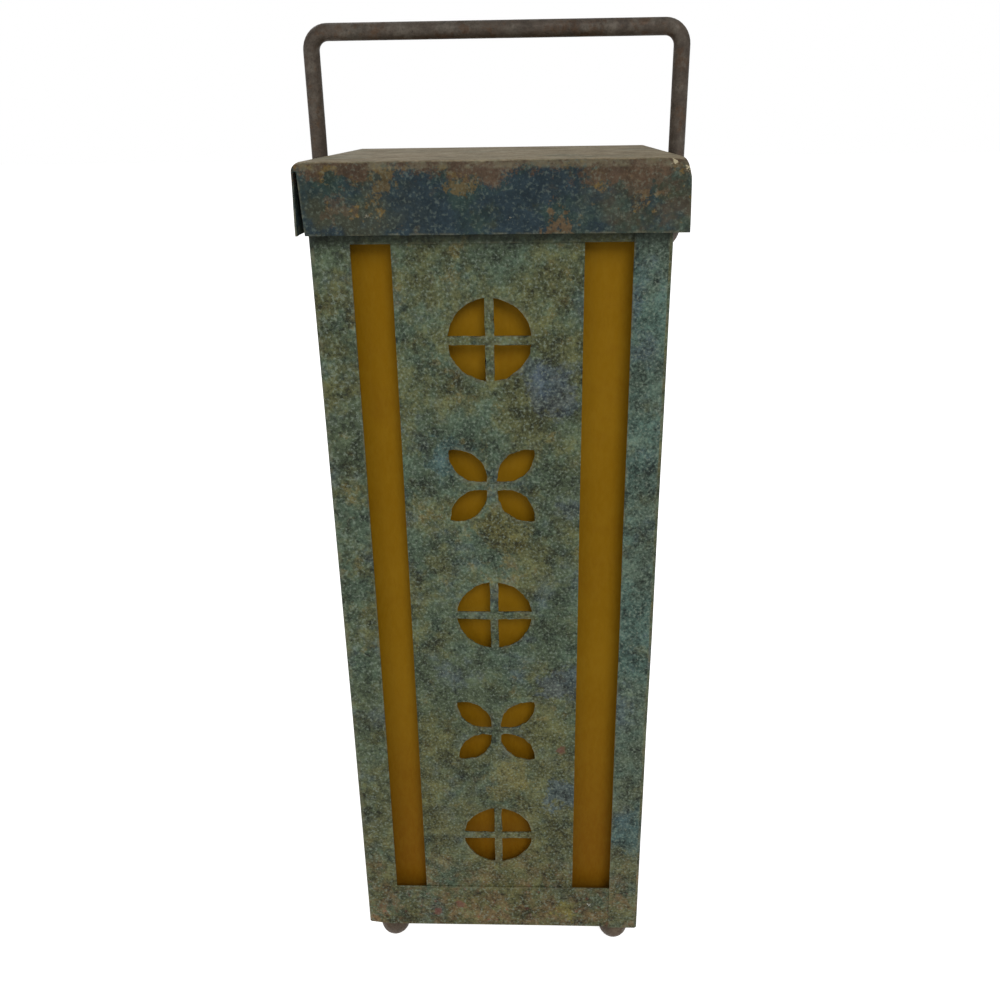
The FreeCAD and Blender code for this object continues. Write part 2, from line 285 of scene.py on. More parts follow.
def lid_stains(tree, place, seed):
    """Browner ends, a ragged rust band down from the folds and dust where the sheet faces up."""
    across, _, height = node(tree, "ShaderNodeSeparateXYZ", {}, {0: place}).outputs
    ends = ramp(tree, reckon(tree, "ABSOLUTE", across), 12 * MM, 46 * MM)
    right = ramp(tree, across, 16 * MM, 50 * MM)
    wander = clouds(tree, place, 12, 0.3, 0.7, 1.0, seed + 33, rough=0.85)
    edge = reckon(tree, "MULTIPLY_ADD", wander, 10 * MM, height)
    edge = reckon(tree, "MULTIPLY_ADD", right, 3 * MM, edge)
    band = ramp(tree, edge, RUST_BAND[0] * MM, RUST_BAND[1] * MM, 0.0, 0.85)
    normal = node(tree, "ShaderNodeNewGeometry").outputs["Normal"]
    up = node(tree, "ShaderNodeSeparateXYZ", {}, {0: normal}).outputs["Z"]
    dust = coated(tree, linear("#87785b"), [
        (linear("#94886e"), clouds(tree, place, 30, 0.40, 0.66, 0.6, seed + 34)),
        (linear("#776a52"), clouds(tree, place, 5, 0.46, 0.70, 0.6, seed + 35)),
        (linear("#737562"), clouds(tree, place, 36, 0.50, 0.66, 0.5, seed + 36)),
    ])
    return [
        (linear("#3c3d2a"), patches(tree, place, ends, 11, 0.40, 0.58, 0.8, seed + 41)),
        (linear("#463d30"), patches(tree, place, right, 9, 0.46, 0.60, 0.8, seed + 42)),
        (linear("#415348"), patches(tree, place, right, 14, 0.48, 0.62, 0.8, seed + 43)),
        (linear("#7d6433"), patches(tree, place, ends, 6, 0.58, 0.66, 0.8, seed + 44)),
        (linear("#55412f"), band),
        (linear("#74602f"), patches(tree, place, band, 6, 0.55, 0.64, 0.8, seed + 45)),
        (dust, ramp(tree, reckon(tree, "MULTIPLY_ADD", wander, 0.16, up), 0.86, 1.02)),
    ]


def patina(name, ground, coats, stains, marks, seed, contrast, skirt_shade=0.0):
    """Tinplate under a sponged-on verdigris patina: matt, and mottled at 1 to 3 mm.

    Coats are (colour, size, low, high, most) from the ground up. Stains make more coats for some
    zones. Marks are single ragged spots: the broad ones soak in and the small ones are chips on top.
    Over all lie pale and dark flecks, wear on the rims, and a painted shade where the lid hangs over:
    a dark band standing for the skirt's shadow.
    """
    made, tree, shader, place = material(name)
    laid = []
    for count, (colour, size, low, high, most) in enumerate(coats):
        mask = clouds(tree, place, size, low, high, most, seed + 3.1 * count, rough=0.75)
        laid.append((linear(colour), mask))
    soaked = [mark for mark in marks if mark[2] > CHIP_REACH]
    chips = [mark for mark in marks if mark[2] <= CHIP_REACH]
    laid += stains(tree, place, seed) + spots(tree, shaken(tree, place, 9.0, seed + 61), soaked)
    mixed = coated(tree, linear(ground), laid)
    colour, sponge = sponged(tree, place, mixed, seed + 40, contrast)
    fine = node(tree, "ShaderNodeTexNoise", {"noise_dimensions": "4D"}, {
        "Vector": place, "W": seed + 50, "Scale": 1 / (1.0 * MM), "Detail": 2.0}).outputs["Fac"]
    rim = node(tree, "ShaderNodeAttribute", {"attribute_name": "rim"}).outputs["Fac"]
    worn = [
        (linear("#93a08f"), ramp(tree, fine, 0.50, 0.72, 0.0, 0.7 * contrast)),
        (linear("#1c211e"), ramp(tree, fine, 0.46, 0.30, 0.0, 0.7 * contrast)),
        (linear("#7f7c62"), patches(tree, place, rim, 5, 0.44, 0.6, 0.5, seed + 60)),
    ]
    worn += spots(tree, shaken(tree, place, 1.6, seed + 62), chips)
    # Painted shade: the dark band under the lid's skirt stands for the skirt's shadow on the wall.
    if skirt_shade:
        height = node(tree, "ShaderNodeSeparateXYZ", {}, {0: place}).outputs["Z"]
        worn.append((linear("#20251d"), ramp(tree, height, SKIRT_SHADE[0] * MM, SKIRT_SHADE[1] * MM, 0.0, skirt_shade)))
    tree.links.new(coated(tree, colour, worn), shader.inputs["Base Color"])
    tree.links.new(ramp(tree, sponge, 0.35, 0.65, 0.75, 0.5), shader.inputs["Roughness"])
    shader.inputs["Metallic"].default_value = 0.1
    shader.inputs["Specular IOR Level"].default_value = 0.25
    raised(tree, shader, sponge, 0.25)
    return made


# Single marks: colour, place, reach and strength. Those that reach CHIP_REACH or less are chips
CHIP_REACH = 4.0
BODY_MARKS = [
    ("#434f60", (20.0, -58.2, 262.0), 16, 0.5), ("#435f62", (-18.0, -58.2, 236.0), 13, 0.5),
    ("#6c6534", (2.0, -58.2, 206.0), 13, 0.5), ("#434f60", (25.0, -58.2, 140.0), 14, 0.5),
    ("#40525f", (25.0, -58.2, 86.0), 13, 0.6), ("#6c6232", (4.0, -58.2, 92.0), 14, 0.5),
    ("#74463c", (25.0, -58.2, 108.0), 3.0, 0.6), ("#3e5657", (54.0, -60.0, 66.0), 18, 0.6),
    ("#70672f", (27.0, -59.4, 22.0), 8.0, 0.7), ("#74463c", (-29.0, -59.4, 20.5), 3.0, 0.7),
    ("#74463c", (-19.0, -59.4, 25.0), 3.2, 0.7), ("#6b5435", (-57.0, -59.4, 14.5), 6.0, 1.0),
    # The near-white dot on the bottom rail is drawn as a small bright mark, in the same way as the
    # chips.
    ("#d2d3c8", (38.4, -59.4, 25.5), 0.9, 1.0),
]
LID_MARKS = [
    ("#65532f", (-35.0, -63.7, 331.5), 7.0, 0.7), ("#5f4a35", (-50.0, -63.7, 324.0), 7.0, 0.4),
    ("#65532f", (-10.0, -63.7, 331.0), 7.0, 0.7), ("#75603a", (52.0, -63.7, 325.0), 6.5, 0.7),
    ("#5e4b39", (50.0, -63.7, 329.0), 10, 0.6), ("#6a5234", (22.0, -63.7, 317.5), 6.0, 0.7),
    ("#b9ae8e", (58.0, -62.4, 335.6), 1.7, 1.0), ("#b9ae8e", (62.6, -63.4, 334.6), 1.4, 1.0),
    ("#8f8a78", (-40.0, -63.7, 320.4), 0.7, 1.0), ("#8f8a78", (6.0, -63.7, 319.0), 0.6, 1.0),
]

tin_patina = patina("patinated_tinplate", "#48533d", [
    ("#4a5c4c", 40, 0.44, 0.60, 0.7),
    ("#454f59", 22, 0.50, 0.64, 0.55),
    ("#5c5b34", 24, 0.46, 0.60, 0.7),
    ("#6d6036", 11, 0.56, 0.66, 0.6),
    ("#4c3d2d", 15, 0.58, 0.70, 0.5),
], body_stains, BODY_MARKS, 0.0, 0.75, skirt_shade=0.75)

post_patina = patina("patinated_corner_post", "#4f5e50", [
    ("#4a6259", 34, 0.42, 0.58, 0.8),
    ("#47545c", 20, 0.50, 0.64, 0.6),
    ("#5a5c40", 18, 0.52, 0.66, 0.6),
], body_stains, BODY_MARKS, 3.0, 0.75, skirt_shade=0.75)

lid_patina = patina("patinated_lid_tinplate", "#253636", [
    ("#24343d", 38, 0.42, 0.56, 0.85),
    ("#2b3e35", 22, 0.48, 0.60, 0.7),
    ("#363a2a", 14, 0.56, 0.66, 0.6),
    ("#352f28", 18, 0.58, 0.68, 0.5),
], lid_stains, LID_MARKS, 7.0, 0.3)


def amber_sheet_finish():
    """Fibreglass sheet tinted amber: cloudy, faintly fibrous, with a soft sheen."""
    made, tree, shader, place = material("amber_fibreglass")
    stretched = node(tree, "ShaderNodeVectorMath", {"operation": "MULTIPLY"}, {
        0: place, 1: (1.0, 1.0, 0.35)}).outputs["Vector"]
    fibres = clouds(tree, stretched, 1.6, 0.35, 0.65, 1.0, 9.0, detail=3.0)
    height = node(tree, "ShaderNodeSeparateXYZ", {}, {0: place}).outputs["Z"]
    body = coated(tree, linear("#936a0a"), [
        (linear("#9e7514"), clouds(tree, place, 45, 0.4, 0.62, 0.6, 2.0)),
        (linear("#8c620e"), clouds(tree, place, 20, 0.5, 0.7, 0.5, 5.0)),
        (linear("#84540f"), ramp(tree, height, 160 * MM, 30 * MM, 0.0, 0.75)),
        (linear("#a67f24"), reckon(tree, "MULTIPLY", fibres, 0.18)),
    ])
    tree.links.new(body, shader.inputs["Base Color"])
    shader.inputs["Roughness"].default_value = 0.5
    shader.inputs["Specular IOR Level"].default_value = 0.06
    raised(tree, shader, fibres, 0.03)
    return made


def bare_metal(name, ground, pale, rust, seed, metallic=0.25):
    """Bare metal left to dull: pitted at 2 mm, brown in patches and brighter where rubbed."""
    made, tree, shader, place = material(name)
    pits = clouds(tree, place, 2.4, 0.35, 0.65, 1.0, seed + 12)
    colour = coated(tree, linear(ground), [
        (linear(pale), clouds(tree, place, 9, 0.46, 0.62, 0.8, seed)),
        (linear(rust), clouds(tree, place, 5, 0.50, 0.64, 0.7, seed + 4)),
        (linear("#26211c"), clouds(tree, place, 1.6, 0.58, 0.70, 0.7, seed + 8)),
    ])
    colour, sponge = sponged(tree, place, colour, seed + 20, 0.3)
    tree.links.new(colour, shader.inputs["Base Color"])
    shader.inputs["Metallic"].default_value = metallic
    shader.inputs["Specular IOR Level"].default_value = 0.25
    tree.links.new(ramp(tree, pits, 0.0, 1.0, 0.66, 0.46), shader.inputs["Roughness"])
    raised(tree, shader, pits, 0.08)
    return made


# The rod and the balls look brown and dull, the tinplate inside grey, and the solder pale
amber_sheet = amber_sheet_finish()
bail_steel = bare_metal("oxidised_steel_rod", "#50473e", "#645d53", "#523d2b", 1.0)
foot_steel = bare_metal("oxidised_steel_ball", "#564a3d", "#655847", "#54402c", 21.0)
inner_tin = bare_metal("dull_tinplate", "#6b6a62", "#7d7c73", "#57503f", 31.0)
solder = bare_metal("soft_solder", "#8f9090", "#b4b5b5", "#6d6c68", 41.0, 0.6)

FINISHES = {
    "tin_patina": tin_patina, "lid_tin": lid_patina, "amber_sheet": amber_sheet,
    "bail_steel": bail_steel, "foot_steel": foot_steel, "inner_tin": inner_tin,
}
for part in frame["record"]["subparts"]:
    cad = frame["nodes"][part["node"]]
    cad.data.materials.clear()
    cad.data.materials.append(FINISHES[part["material_slot"]])


# Making pieces

def smooth(value, low, high):
    """0 below low, 1 above high and a smooth step between them."""
    share = min(max((value - low) / (high - low), 0.0), 1.0)
    return share * share * (3 - 2 * share)


def spread(low, high, step, marks=(), beside=0.8):
    """Places from low to high about a step apart, with every mark and a place close beside each."""
    count = max(1, round((high - low) / step))
    places = [low + (high - low) * k / count for k in range(count + 1)]
    for mark in (low, *marks, high):
        close = [p for p in (mark - beside, mark, mark + beside) if low <= p <= high]
        places = [p for p in places if all(abs(p - c) > 0.4 * step for c in close)] + close
    return sorted(set(places))


def settled(p):
    """Where a point of the hand-bent body lies: faces bow out a little, and corners aren't true.

    Round the bail's ends the faces stay flat, as ears and washers lie on them.
    """
    wave = 0.5 + 0.5 * noise.noise(p / 48 + Vector((3.1, 0.7, 5.2)))
    pivot = min((p - Vector((side * FACE, 0, PIVOT))).length for side in (-1, 1))
    push = WALL_BOW * wave * smooth(pivot, 10, 26)
    lean = POST_LEAN * smooth(p.z, 60, 330) * smooth(-p.x, 20, HALF) * smooth(-p.y, 5, FACE)
    curl = 1.0 - smooth((p - Vector((-HALF, -HALF, wall_low.z))).length, 0, 9)
    return p + Vector((push * p.x / HALF - lean, push * p.y / HALF, CORNER_CURL * curl))


def to_object(name, mesh, *finishes):
    """A mesh as an object at the origin."""
    for finish in finishes:
        mesh.materials.append(finish)
    piece = bpy.data.objects.new(name, mesh)
    bpy.context.scene.collection.objects.link(piece)
    return piece


def from_bmesh(name, bm, *finishes):
    """A finished mesh in millimetres as an object in metres."""
    bmesh.ops.scale(bm, vec=(MM, MM, MM), verts=bm.verts)
    mesh = bpy.data.meshes.new(name)
    bm.to_mesh(mesh)
    bm.free()
    return to_object(name, mesh, *finishes)


def baked(piece, angle=35):
    """The piece with its modifiers applied and its edges smooth below the angle."""
    graph = bpy.context.evaluated_depsgraph_get()
    mesh = bpy.data.meshes.new_from_object(
        piece.evaluated_get(graph), preserve_all_data_layers=True, depsgraph=graph)
    piece.modifiers.clear()
    piece.data = mesh
    mesh.name = piece.name
    mesh.polygons.foreach_set("use_smooth", [True] * len(mesh.polygons))
    mesh.set_sharp_from_angle(angle=math.radians(angle))
    return piece


def sheeted(piece):
    """Gives an outer skin its thickness inwards and breaks its cut edges."""
    skin = piece.modifiers.new("sheet", "SOLIDIFY")
    skin.thickness = SHEET * MM
    skin.offset = -1.0
    skin.use_even_offset = True
    broken = piece.modifiers.new("edge", "BEVEL")
    broken.width = EDGE_BREAK * MM
    broken.segments = 1
    broken.limit_method = "ANGLE"
    broken.angle_limit = math.radians(50)
    return baked(piece)


def mark_rim(bm, on_fold):
    """Stores where a sheet's free edges are, and less strongly its folds, for wear."""
    layer = bm.verts.layers.float.new("rim")
    for vert in bm.verts:
        vert[layer] = 1.0 if vert.is_boundary else 0.8 if on_fold(vert.co) else 0.0


def belongs(piece, body, slot_name, *nodes):
    """Hangs a piece on its body in place of CAD nodes, and hides those nodes. The slot name is not
    used.
    """
    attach(piece, body)
    if nodes:
        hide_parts(*nodes)


def quarter_turn(quarter):
    """The turn from the front wall to another one."""
    return Matrix.Rotation(math.pi / 2 * quarter, 3, "Z")


# Folded walls

def wall(quarter):
    """One wall's outer skin: flange, bend and face round the window, in its place."""
    bend_x, bend_y = -HALF + BEND, -FACE + BEND
    path = [(-HALF, y) for y in reversed(spread(bend_y, wall_high.y, SHEET_STEP))]
    for k in range(1, BEND_STEPS):
        angle = math.pi + math.pi / 2 * k / BEND_STEPS
        path.append((bend_x + BEND * math.cos(angle), bend_y + BEND * math.sin(angle)))
    across = spread(bend_x, wall_high.x, SHEET_STEP, (WINDOW_LEFT, WINDOW_RIGHT))
    path += [(x, -FACE) for x in across]
    heights = spread(wall_low.z, wall_high.z, SHEET_STEP, (WINDOW_LOW, WINDOW_HIGH))
    bm = bmesh.new()
    rows = [[bm.verts.new((x, y, z)) for x, y in path] for z in heights]
    for low, high in zip(rows, rows[1:]):
        for left in range(len(path) - 1):
            middle = (low[left].co + high[left + 1].co) / 2
            if WINDOW_LEFT < middle.x < WINDOW_RIGHT and WINDOW_LOW < middle.z < WINDOW_HIGH:
                continue
            face = bm.faces.new((low[left], low[left + 1], high[left + 1], high[left]))
            face.material_index = 1 if middle.y > bend_y else 0
    bmesh.ops.delete(bm, geom=[v for v in bm.verts if not v.link_faces], context="VERTS")
    mark_rim(bm, lambda place: place.x < bend_x + 0.01 and place.y < bend_y + 0.01)
    for vert in bm.verts:
        vert.co = settled(quarter_turn(quarter) @ vert.co)
    return sheeted(from_bmesh(WALLS[quarter] + "_wall_sheet", bm, tin_patina, post_patina))


for quarter, name in enumerate(WALLS):
    belongs(wall(quarter), "lantern", "tin_patina", name + "_wall")


# Geometry Nodes

def new_tree(name, *inputs):
    """A Geometry Nodes tree with named inputs, and the node that gives them."""
    tree = bpy.data.node_groups.new(name, "GeometryNodeTree")
    for label, kind in (("Geometry", "Geometry"), *inputs, ("Finish", "Material")):
        tree.interface.new_socket(label, in_out="INPUT", socket_type="NodeSocket" + kind)
    tree.interface.new_socket("Geometry", in_out="OUTPUT", socket_type="NodeSocketGeometry")
    return tree, node(tree, "NodeGroupInput").outputs


def end_tree(tree, geometry, given):
    """Realizes what a tree has made, gives it its finish and puts it out."""
    whole = node(tree, "GeometryNodeRealizeInstances", {}, {"Geometry": geometry}).outputs["Geometry"]
    done = node(tree, "GeometryNodeSetMaterial", {}, {
        "Geometry": whole, "Material": given["Finish"]}).outputs["Geometry"]
    node(tree, "NodeGroupOutput", {}, {"Geometry": done})
    return tree


def grown(name, tree, inputs, mesh=None):
    """A piece grown by a tree from a mesh, with the tree's inputs set by name, as plain mesh data."""
    finish = inputs["Finish"]
    piece = to_object(name, mesh or bpy.data.meshes.new(name), finish)
    modifier = piece.modifiers.new("nodes", "NODES")
    modifier.node_group = tree
    for item in tree.interface.items_tree:
        if item.in_out == "INPUT" and item.name in inputs:
            modifier[item.identifier] = inputs[item.name]
    return baked(piece)


def placed(tree, geometry, place=(0, 0, 0), turn=(0, 0, 0)):
    """Geometry turned and then moved by a place in mm."""
    return node(tree, "GeometryNodeTransform", {}, {
        "Geometry": geometry, "Translation": Vector(place) * MM,
        "Rotation": turn}).outputs["Geometry"]


def level_cylinder(tree, diameter, depth, corners):
    """A cutter whose axis lies along Y."""
    disc = node(tree, "GeometryNodeMeshCylinder", {}, {
        "Vertices": corners, "Radius": diameter / 2 * MM, "Depth": depth * MM}).outputs["Mesh"]
    return placed(tree, disc, turn=(math.pi / 2, 0, 0))


def combined(tree, operation, inputs):
    """Meshes cut from or with each other."""
    cut = node(tree, "GeometryNodeMeshBoolean", {"operation": operation, "solver": "EXACT"}, inputs)
    return cut.outputs["Mesh"]


# Pierced strips

def wheel_cutter(tree, depth):
    """A disc quartered by two bridges."""
    bars = []
    for across, up in ((BRIDGE, 2 * WHEEL), (2 * WHEEL, BRIDGE)):
        bars.append(node(tree, "GeometryNodeMeshCube", {}, {
            "Size": Vector((across, 2 * depth, up)) * MM}).outputs["Mesh"])
    disc = level_cylinder(tree, WHEEL, depth, 64)
    return combined(tree, "DIFFERENCE", {"Mesh 1": disc, "Mesh 2": bars})


def petals_cutter(tree, depth):
    """Four pointed petals on the diagonals, each where two discs meet."""
    reach = math.hypot(*PETAL_SPAN) / 2
    lean = math.atan2(PETAL_SPAN[1], PETAL_SPAN[0])
    length, swell = reach - PETAL_START, PETAL_WIDTH / 2
    radius = (length * length / 4 + swell * swell) / (2 * swell)
    disc = level_cylinder(tree, 2 * radius, depth, 96)
    discs = [placed(tree, disc, (0, 0, side * (radius - swell))) for side in (-1, 1)]
    petal = combined(tree, "INTERSECT", {"Mesh 2": discs})
    petal = placed(tree, petal, (PETAL_START + length / 2, 0, 0))
    turns = [lean, math.pi - lean, math.pi + lean, -lean]
    return node(tree, "GeometryNodeJoinGeometry", {}, {
        "Geometry": [placed(tree, petal, turn=(0, turn, 0)) for turn in turns]}).outputs["Geometry"]


def strip_tree():
    """A sheet with cut-outs alternating up its length, their edges hand-filed and a little sunk."""
    tree, given = new_tree("punched_strip", ("Bail Hole", "Bool"), ("Seed", "Float"))
    size, middle = strip_high - strip_low, (strip_high + strip_low) / 2
    depth = 8.0
    plate = placed(tree, node(tree, "GeometryNodeMeshCube", {}, {
        "Size": size * MM, "Vertices X": round(size.x / PLATE_STEP), "Vertices Y": 2,
        "Vertices Z": round(size.z / PLATE_STEP)}).outputs["Mesh"], middle)
    pitch = (MOTIF_HIGH - MOTIF_LOW) / (MOTIFS - 1)
    line = node(tree, "GeometryNodeMeshLine", {}, {
        "Count": MOTIFS, "Start Location": Vector((middle.x, middle.y, MOTIF_LOW)) * MM,
        "Offset": Vector((0, 0, pitch)) * MM}).outputs["Mesh"]
    odd = reckon(tree, "MODULO", node(tree, "GeometryNodeInputIndex").outputs[0], 2.0)
    even = reckon(tree, "SUBTRACT", 1.0, odd)
    cutters = []
    for cutter, chosen in ((wheel_cutter(tree, depth), even), (petals_cutter(tree, depth), odd)):
        cutters.append(node(tree, "GeometryNodeInstanceOnPoints", {}, {
            "Points": line, "Selection": chosen, "Instance": cutter}).outputs["Instances"])
    hole = placed(tree, level_cylinder(tree, ROD_HOLE, depth, 32), (0, middle.y, PIVOT))
    cutters.append(node(tree, "GeometryNodeSwitch", {"input_type": "GEOMETRY"}, {
        "Switch": given["Bail Hole"], "True": hole}).outputs["Output"])
    joined = node(tree, "GeometryNodeJoinGeometry", {}, {"Geometry": cutters}).outputs["Geometry"]
    cutters = node(tree, "GeometryNodeRealizeInstances", {}, {"Geometry": joined}).outputs["Geometry"]
    sheet = combined(tree, "DIFFERENCE", {"Mesh 1": plate, "Mesh 2": cutters})
    gap = node(tree, "GeometryNodeProximity", {"target_element": "FACES"}, {
        "Geometry": cutters}).outputs["Distance"]
    rim = ramp(tree, gap, 0.0, CUT_FILING_REACH * MM, 1.0, 0.0)
    sunk = node(tree, "ShaderNodeCombineXYZ", {}, {
        "Y": ramp(tree, gap, 0.0, CUT_SINK_REACH * MM, CUT_SINK * MM, 0.0)}).outputs["Vector"]
    filed = node(tree, "ShaderNodeTexNoise", {"noise_dimensions": "4D"}, {
        "Vector": node(tree, "GeometryNodeInputPosition").outputs["Position"],
        "W": given["Seed"], "Scale": 1 / (2.6 * MM), "Detail": 2.0}).outputs["Color"]
    filed = node(tree, "ShaderNodeVectorMath", {"operation": "SUBTRACT"}, {
        0: filed, 1: (0.5, 0.5, 0.5)}).outputs["Vector"]
    filed = node(tree, "ShaderNodeVectorMath", {"operation": "MULTIPLY"}, {
        0: filed, 1: (CUT_FILING * MM, 0.0, CUT_FILING * MM)}).outputs["Vector"]
    filed = node(tree, "ShaderNodeVectorMath", {"operation": "SCALE"}, {
        0: filed, "Scale": rim}).outputs["Vector"]
    marked = node(tree, "GeometryNodeStoreNamedAttribute", {
        "data_type": "FLOAT", "domain": "POINT"}, {
        "Geometry": sheet, "Name": "rim", "Value": rim}).outputs["Geometry"]
    moved = node(tree, "ShaderNodeVectorMath", {"operation": "ADD"}, {
        0: filed, 1: sunk}).outputs["Vector"]
    shifted = node(tree, "GeometryNodeSetPosition", {}, {
        "Geometry": marked, "Offset": moved}).outputs["Geometry"]
    return end_tree(tree, shifted, given)


pierced = strip_tree()
for quarter, name in enumerate(WALLS):
    strip = grown(name + "_strip_sheet", pierced, {
        "Bail Hole": name in ("right", "left"), "Seed": 5.0 + quarter, "Finish": tin_patina})
    for vert in strip.data.vertices:
        vert.co = settled(quarter_turn(quarter) @ vert.co / MM) * MM
    belongs(strip, "lantern", "tin_patina", name + "_strip")


# Folded lid

def lid_settled(p):
    """Where a point of the lid lies: top a little dished, skirts uneven, front ends sprung out."""
    wave = 0.5 + 0.5 * noise.noise(p / 40 + Vector((8.3, 2.9, 1.7)))
    depth = smooth(lid_high.z - p.z, LID_FOLD, lid_high.z - lid_low.z)
    front = smooth(-p.y, 30, -lid_low.y)
    inward = SKIRT_BOW * wave * depth
    ragged = SKIRT_RAGGED * noise.noise(p / 5) * smooth(lid_low.z + 1.5 - p.z, 0, 1.5)
    dished = LID_DISH * wave * smooth(p.z, lid_high.z - 0.1, lid_high.z)
    out = SKIRT_SPRING * depth * smooth(abs(p.x), 56, lid_high.x) * front
    crushed = 1.0 - smooth((p - Vector((lid_high.x, lid_low.y, lid_high.z))).length, 1, 7)
    return p + Vector((
        (out - inward * (1 - front)) * p.x / lid_high.x - LID_CRUSH * crushed,
        -inward * p.y / lid_high.y + LID_CRUSH_BACK * crushed,
        ragged - dished - LID_CRUSH * crushed))


def lid():
    """The lid's outer skin: one sheet folded down on four sides and slit open at each corner."""
    middle, size = (lid_low + lid_high) / 2, lid_high - lid_low
    bm = bmesh.new()
    bmesh.ops.create_cube(bm, size=1, matrix=Matrix.LocRotScale(middle, None, size))
    bmesh.ops.delete(bm, geom=[f for f in bm.faces if f.normal.z < -0.5], context="FACES_ONLY")
    top = [e for e in bm.edges if all(v.co.z > middle.z for v in e.verts)]
    bmesh.ops.bevel(bm, geom=top, offset=LID_FOLD, segments=BEND_STEPS, profile=0.5, affect="EDGES")

    def cut(faces, spot, across):
        parts = {part for f in faces for part in (f, *f.edges, *f.verts)}
        bmesh.ops.bisect_plane(bm, geom=list(parts), dist=1e-5, plane_co=spot, plane_no=across)

    for x in spread(lid_low.x, lid_high.x, SHEET_STEP)[1:-1]:
        cut(bm.faces[:], (x, 0, 0), (1, 0, 0))
        cut(bm.faces[:], (0, x, 0), (0, 1, 0))
    for z in spread(lid_low.z, lid_high.z - LID_FOLD, SKIRT_STEP)[1:-1]:
        cut(bm.faces[:], (0, 0, z), (0, 0, 1))
    high = Vector((lid_low.x + SLIT_TOP, 0, lid_high.z - LID_FOLD))
    low = Vector((lid_low.x + SLIT_BOTTOM, 0, lid_low.z))
    away = Vector((high.z - low.z, 0, low.x - high.x)).normalized()
    for quarter in range(4):
        for spot in (high + away * 0.8, high):
            cut([f for f in bm.faces if f.normal.y < -0.9], spot, away)
        slit = []
        for f in bm.faces:
            centre = f.calc_center_median()
            if f.normal.y < -0.9 and centre.z < high.z and (centre - high).dot(away) < 0:
                slit.append(f)
        bmesh.ops.delete(bm, geom=slit, context="FACES")
        bmesh.ops.rotate(bm, cent=(0, 0, 0), matrix=quarter_turn(1), verts=bm.verts)
    mark_rim(bm, lambda place: 0.3 < lid_high.z - place.z < LID_FOLD - 0.3)
    for vert in bm.verts:
        vert.co = lid_settled(vert.co)
    return sheeted(from_bmesh("lid_sheet", bm, lid_patina))


belongs(lid(), "lid", "lid_tin", "lid")


# Bail

def rod_tree():
    """A round rod bent along a path of corners."""
    tree, given = new_tree("bent_rod", ("Radius", "Float"), ("Bend", "Float"))
    path = node(tree, "GeometryNodeMeshToCurve", {}, {"Mesh": given["Geometry"]}).outputs["Curve"]
    bent = node(tree, "GeometryNodeFilletCurve", {"mode": "POLY"}, {
        "Curve": path, "Count": 9, "Radius": given["Bend"]}).outputs["Curve"]
    ring = node(tree, "GeometryNodeCurvePrimitiveCircle", {"mode": "RADIUS"}, {
        "Resolution": 28, "Radius": given["Radius"]}).outputs["Curve"]
    rod = node(tree, "GeometryNodeCurveToMesh", {}, {
        "Curve": bent, "Profile Curve": ring, "Fill Caps": True}).outputs["Mesh"]
    return end_tree(tree, rod, given)


def path_mesh(name, points, closed=False):
    """A chain of edges through points in mm."""
    mesh = bpy.data.meshes.new(name)
    edges = [(k, (k + 1) % len(points)) for k in range(len(points) if closed else len(points) - 1)]
    mesh.from_pydata([Vector(p) * MM for p in points], edges, [])
    return mesh


leg, bar = bail_high.x - ROD, bail_high.z - ROD
corners = [
    (-ROD_END, PIVOT), (-leg, PIVOT), (-leg, bar),
    (leg, bar), (leg, PIVOT), (ROD_END, PIVOT),
]
bail_path = path_mesh("bail_path", [(x, 0, z) for x, z in corners])
bail = grown("bail_rod", rod_tree(), {
    "Radius": ROD * MM, "Bend": ROD_BEND * MM, "Finish": bail_steel}, bail_path)
belongs(bail, "bail", "bail_steel", "bail_handle")


# Solder

def bead_tree():
    """A bead of solder run along a closed path of corners, thicker and thinner as the iron went."""
    tree, given = new_tree("solder_bead", ("Radius", "Float"), ("Seed", "Float"))
    path = node(tree, "GeometryNodeMeshToCurve", {}, {"Mesh": given["Geometry"]}).outputs["Curve"]
    run = node(tree, "GeometryNodeResampleCurve", {"mode": "LENGTH"}, {
        "Curve": path, "Length": 0.9 * MM}).outputs["Curve"]
    flow = node(tree, "ShaderNodeTexNoise", {"noise_dimensions": "4D"}, {
        "Vector": node(tree, "GeometryNodeInputPosition").outputs["Position"],
        "W": given["Seed"], "Scale": 1 / (5 * MM), "Detail": 2.0}).outputs["Fac"]
    uneven = node(tree, "GeometryNodeSetCurveRadius", {}, {
        "Curve": run, "Radius": ramp(tree, flow, 0.3, 0.7, 0.45, 1.0)}).outputs["Curve"]
    ring = node(tree, "GeometryNodeCurvePrimitiveCircle", {"mode": "RADIUS"}, {
        "Resolution": 8, "Radius": given["Radius"]}).outputs["Curve"]
    bead = node(tree, "GeometryNodeCurveToMesh", {}, {
        "Curve": uneven, "Profile Curve": ring}).outputs["Mesh"]
    return end_tree(tree, bead, given)


seam, seam_height = HALF - SHEET - BEAD_IN, wall_low.z + BEAD_UP
seam_points = [(seam * x, seam * y, seam_height) for x, y in SQUARE]
seam_path = path_mesh("seam_path", seam_points, closed=True)
seam_bead = grown("floor_seam_solder", bead_tree(), {
    "Radius": BEAD * MM, "Seed": 2.0, "Finish": solder}, seam_path)
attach(seam_bead, "lantern")


# Turned feet

def turned(name, outline, x, y, finish):
    """A solid turned about an upright axis from an outline of (radius, height)."""
    bm = bmesh.new()
    chain = [bm.verts.new((x + r, y, z)) for r, z in outline]
    edges = [bm.edges.new(pair) for pair in zip(chain, chain[1:])]
    bmesh.ops.spin(bm, geom=chain + edges, cent=(x, y, 0), axis=(0, 0, 1), angle=2 * math.pi,
                   steps=40, use_merge=True)
    bmesh.ops.remove_doubles(bm, verts=bm.verts, dist=0.001)
    bmesh.ops.recalc_face_normals(bm, faces=bm.faces)
    return baked(from_bmesh(name, bm, finish))


